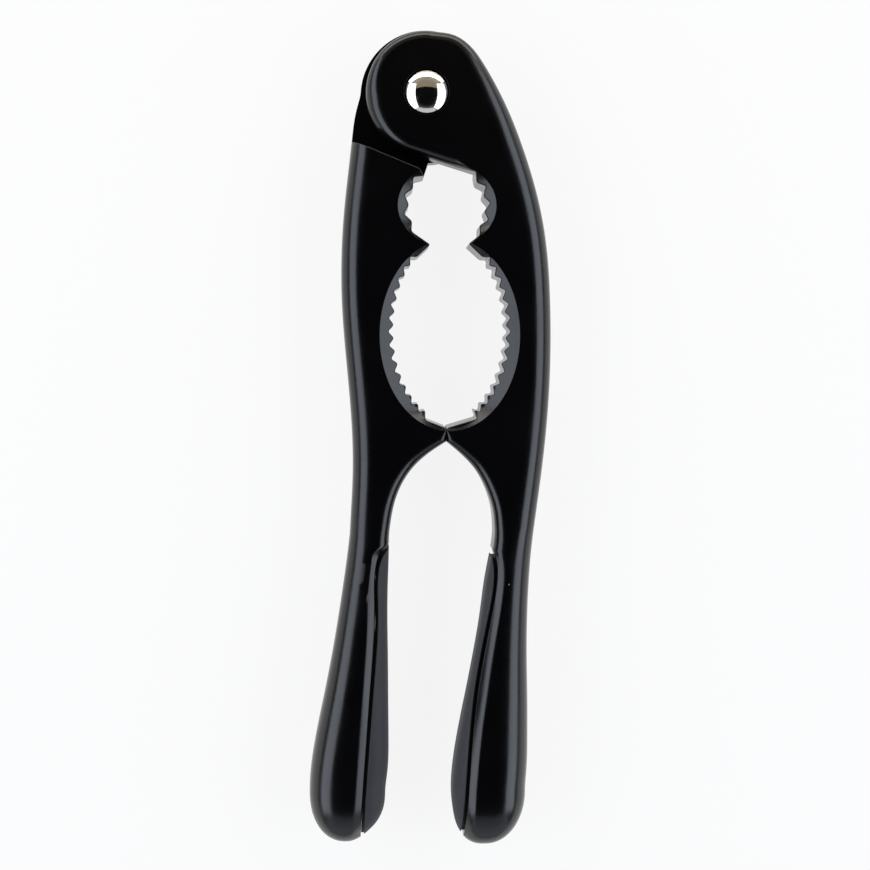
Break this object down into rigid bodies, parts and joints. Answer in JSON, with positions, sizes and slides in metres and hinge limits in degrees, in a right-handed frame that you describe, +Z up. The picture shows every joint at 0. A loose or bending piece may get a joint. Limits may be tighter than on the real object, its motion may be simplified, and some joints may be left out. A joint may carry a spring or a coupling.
{
  "type": "lever nut cracker",
  "caption": "Plier-type nut cracker: toothed jaws round a small and a large hole, riveted pivot, bulb-ended handles with soft inserts.",
  "frame": {"origin": "on the pivot axis, in the plane that the cracker lies on, at the flat end of the rivet's tail", "axes": "+Z up through the rivet's domed head, +Y from the handles to the pivot, +X towards the arm that carries the front lug"},
  "size_m": [0.0595, 0.2001, 0.017],
  "materials": {
    "arm_black": "satin black coating on die-cast zinc",
    "grip_soft": "matte soft-touch moulded rubber",
    "rivet_polished": "polished nickel-plated steel",
    "lap_washer_plastic": "natural nylon",
    "washer_steel": "plain zinc-plated steel"
  },
  "bodies": {
    "right_lever": {"right_arm": "arm_black", "right_grip_insert": "grip_soft", "pivot_rivet": "rivet_polished", "lap_washer": "lap_washer_plastic", "rear_washer": "washer_steel"},
    "left_lever": {"left_arm": "arm_black", "left_grip_insert": "grip_soft"}
  },
  "joints": [
    {"name": "arm_pivot", "type": "hinge", "parent": "right_lever", "child": "left_lever", "pos_m": [0, 0, 0.0085], "axis": [0, 0, -1], "range_deg": [0, 70]}
  ]
}
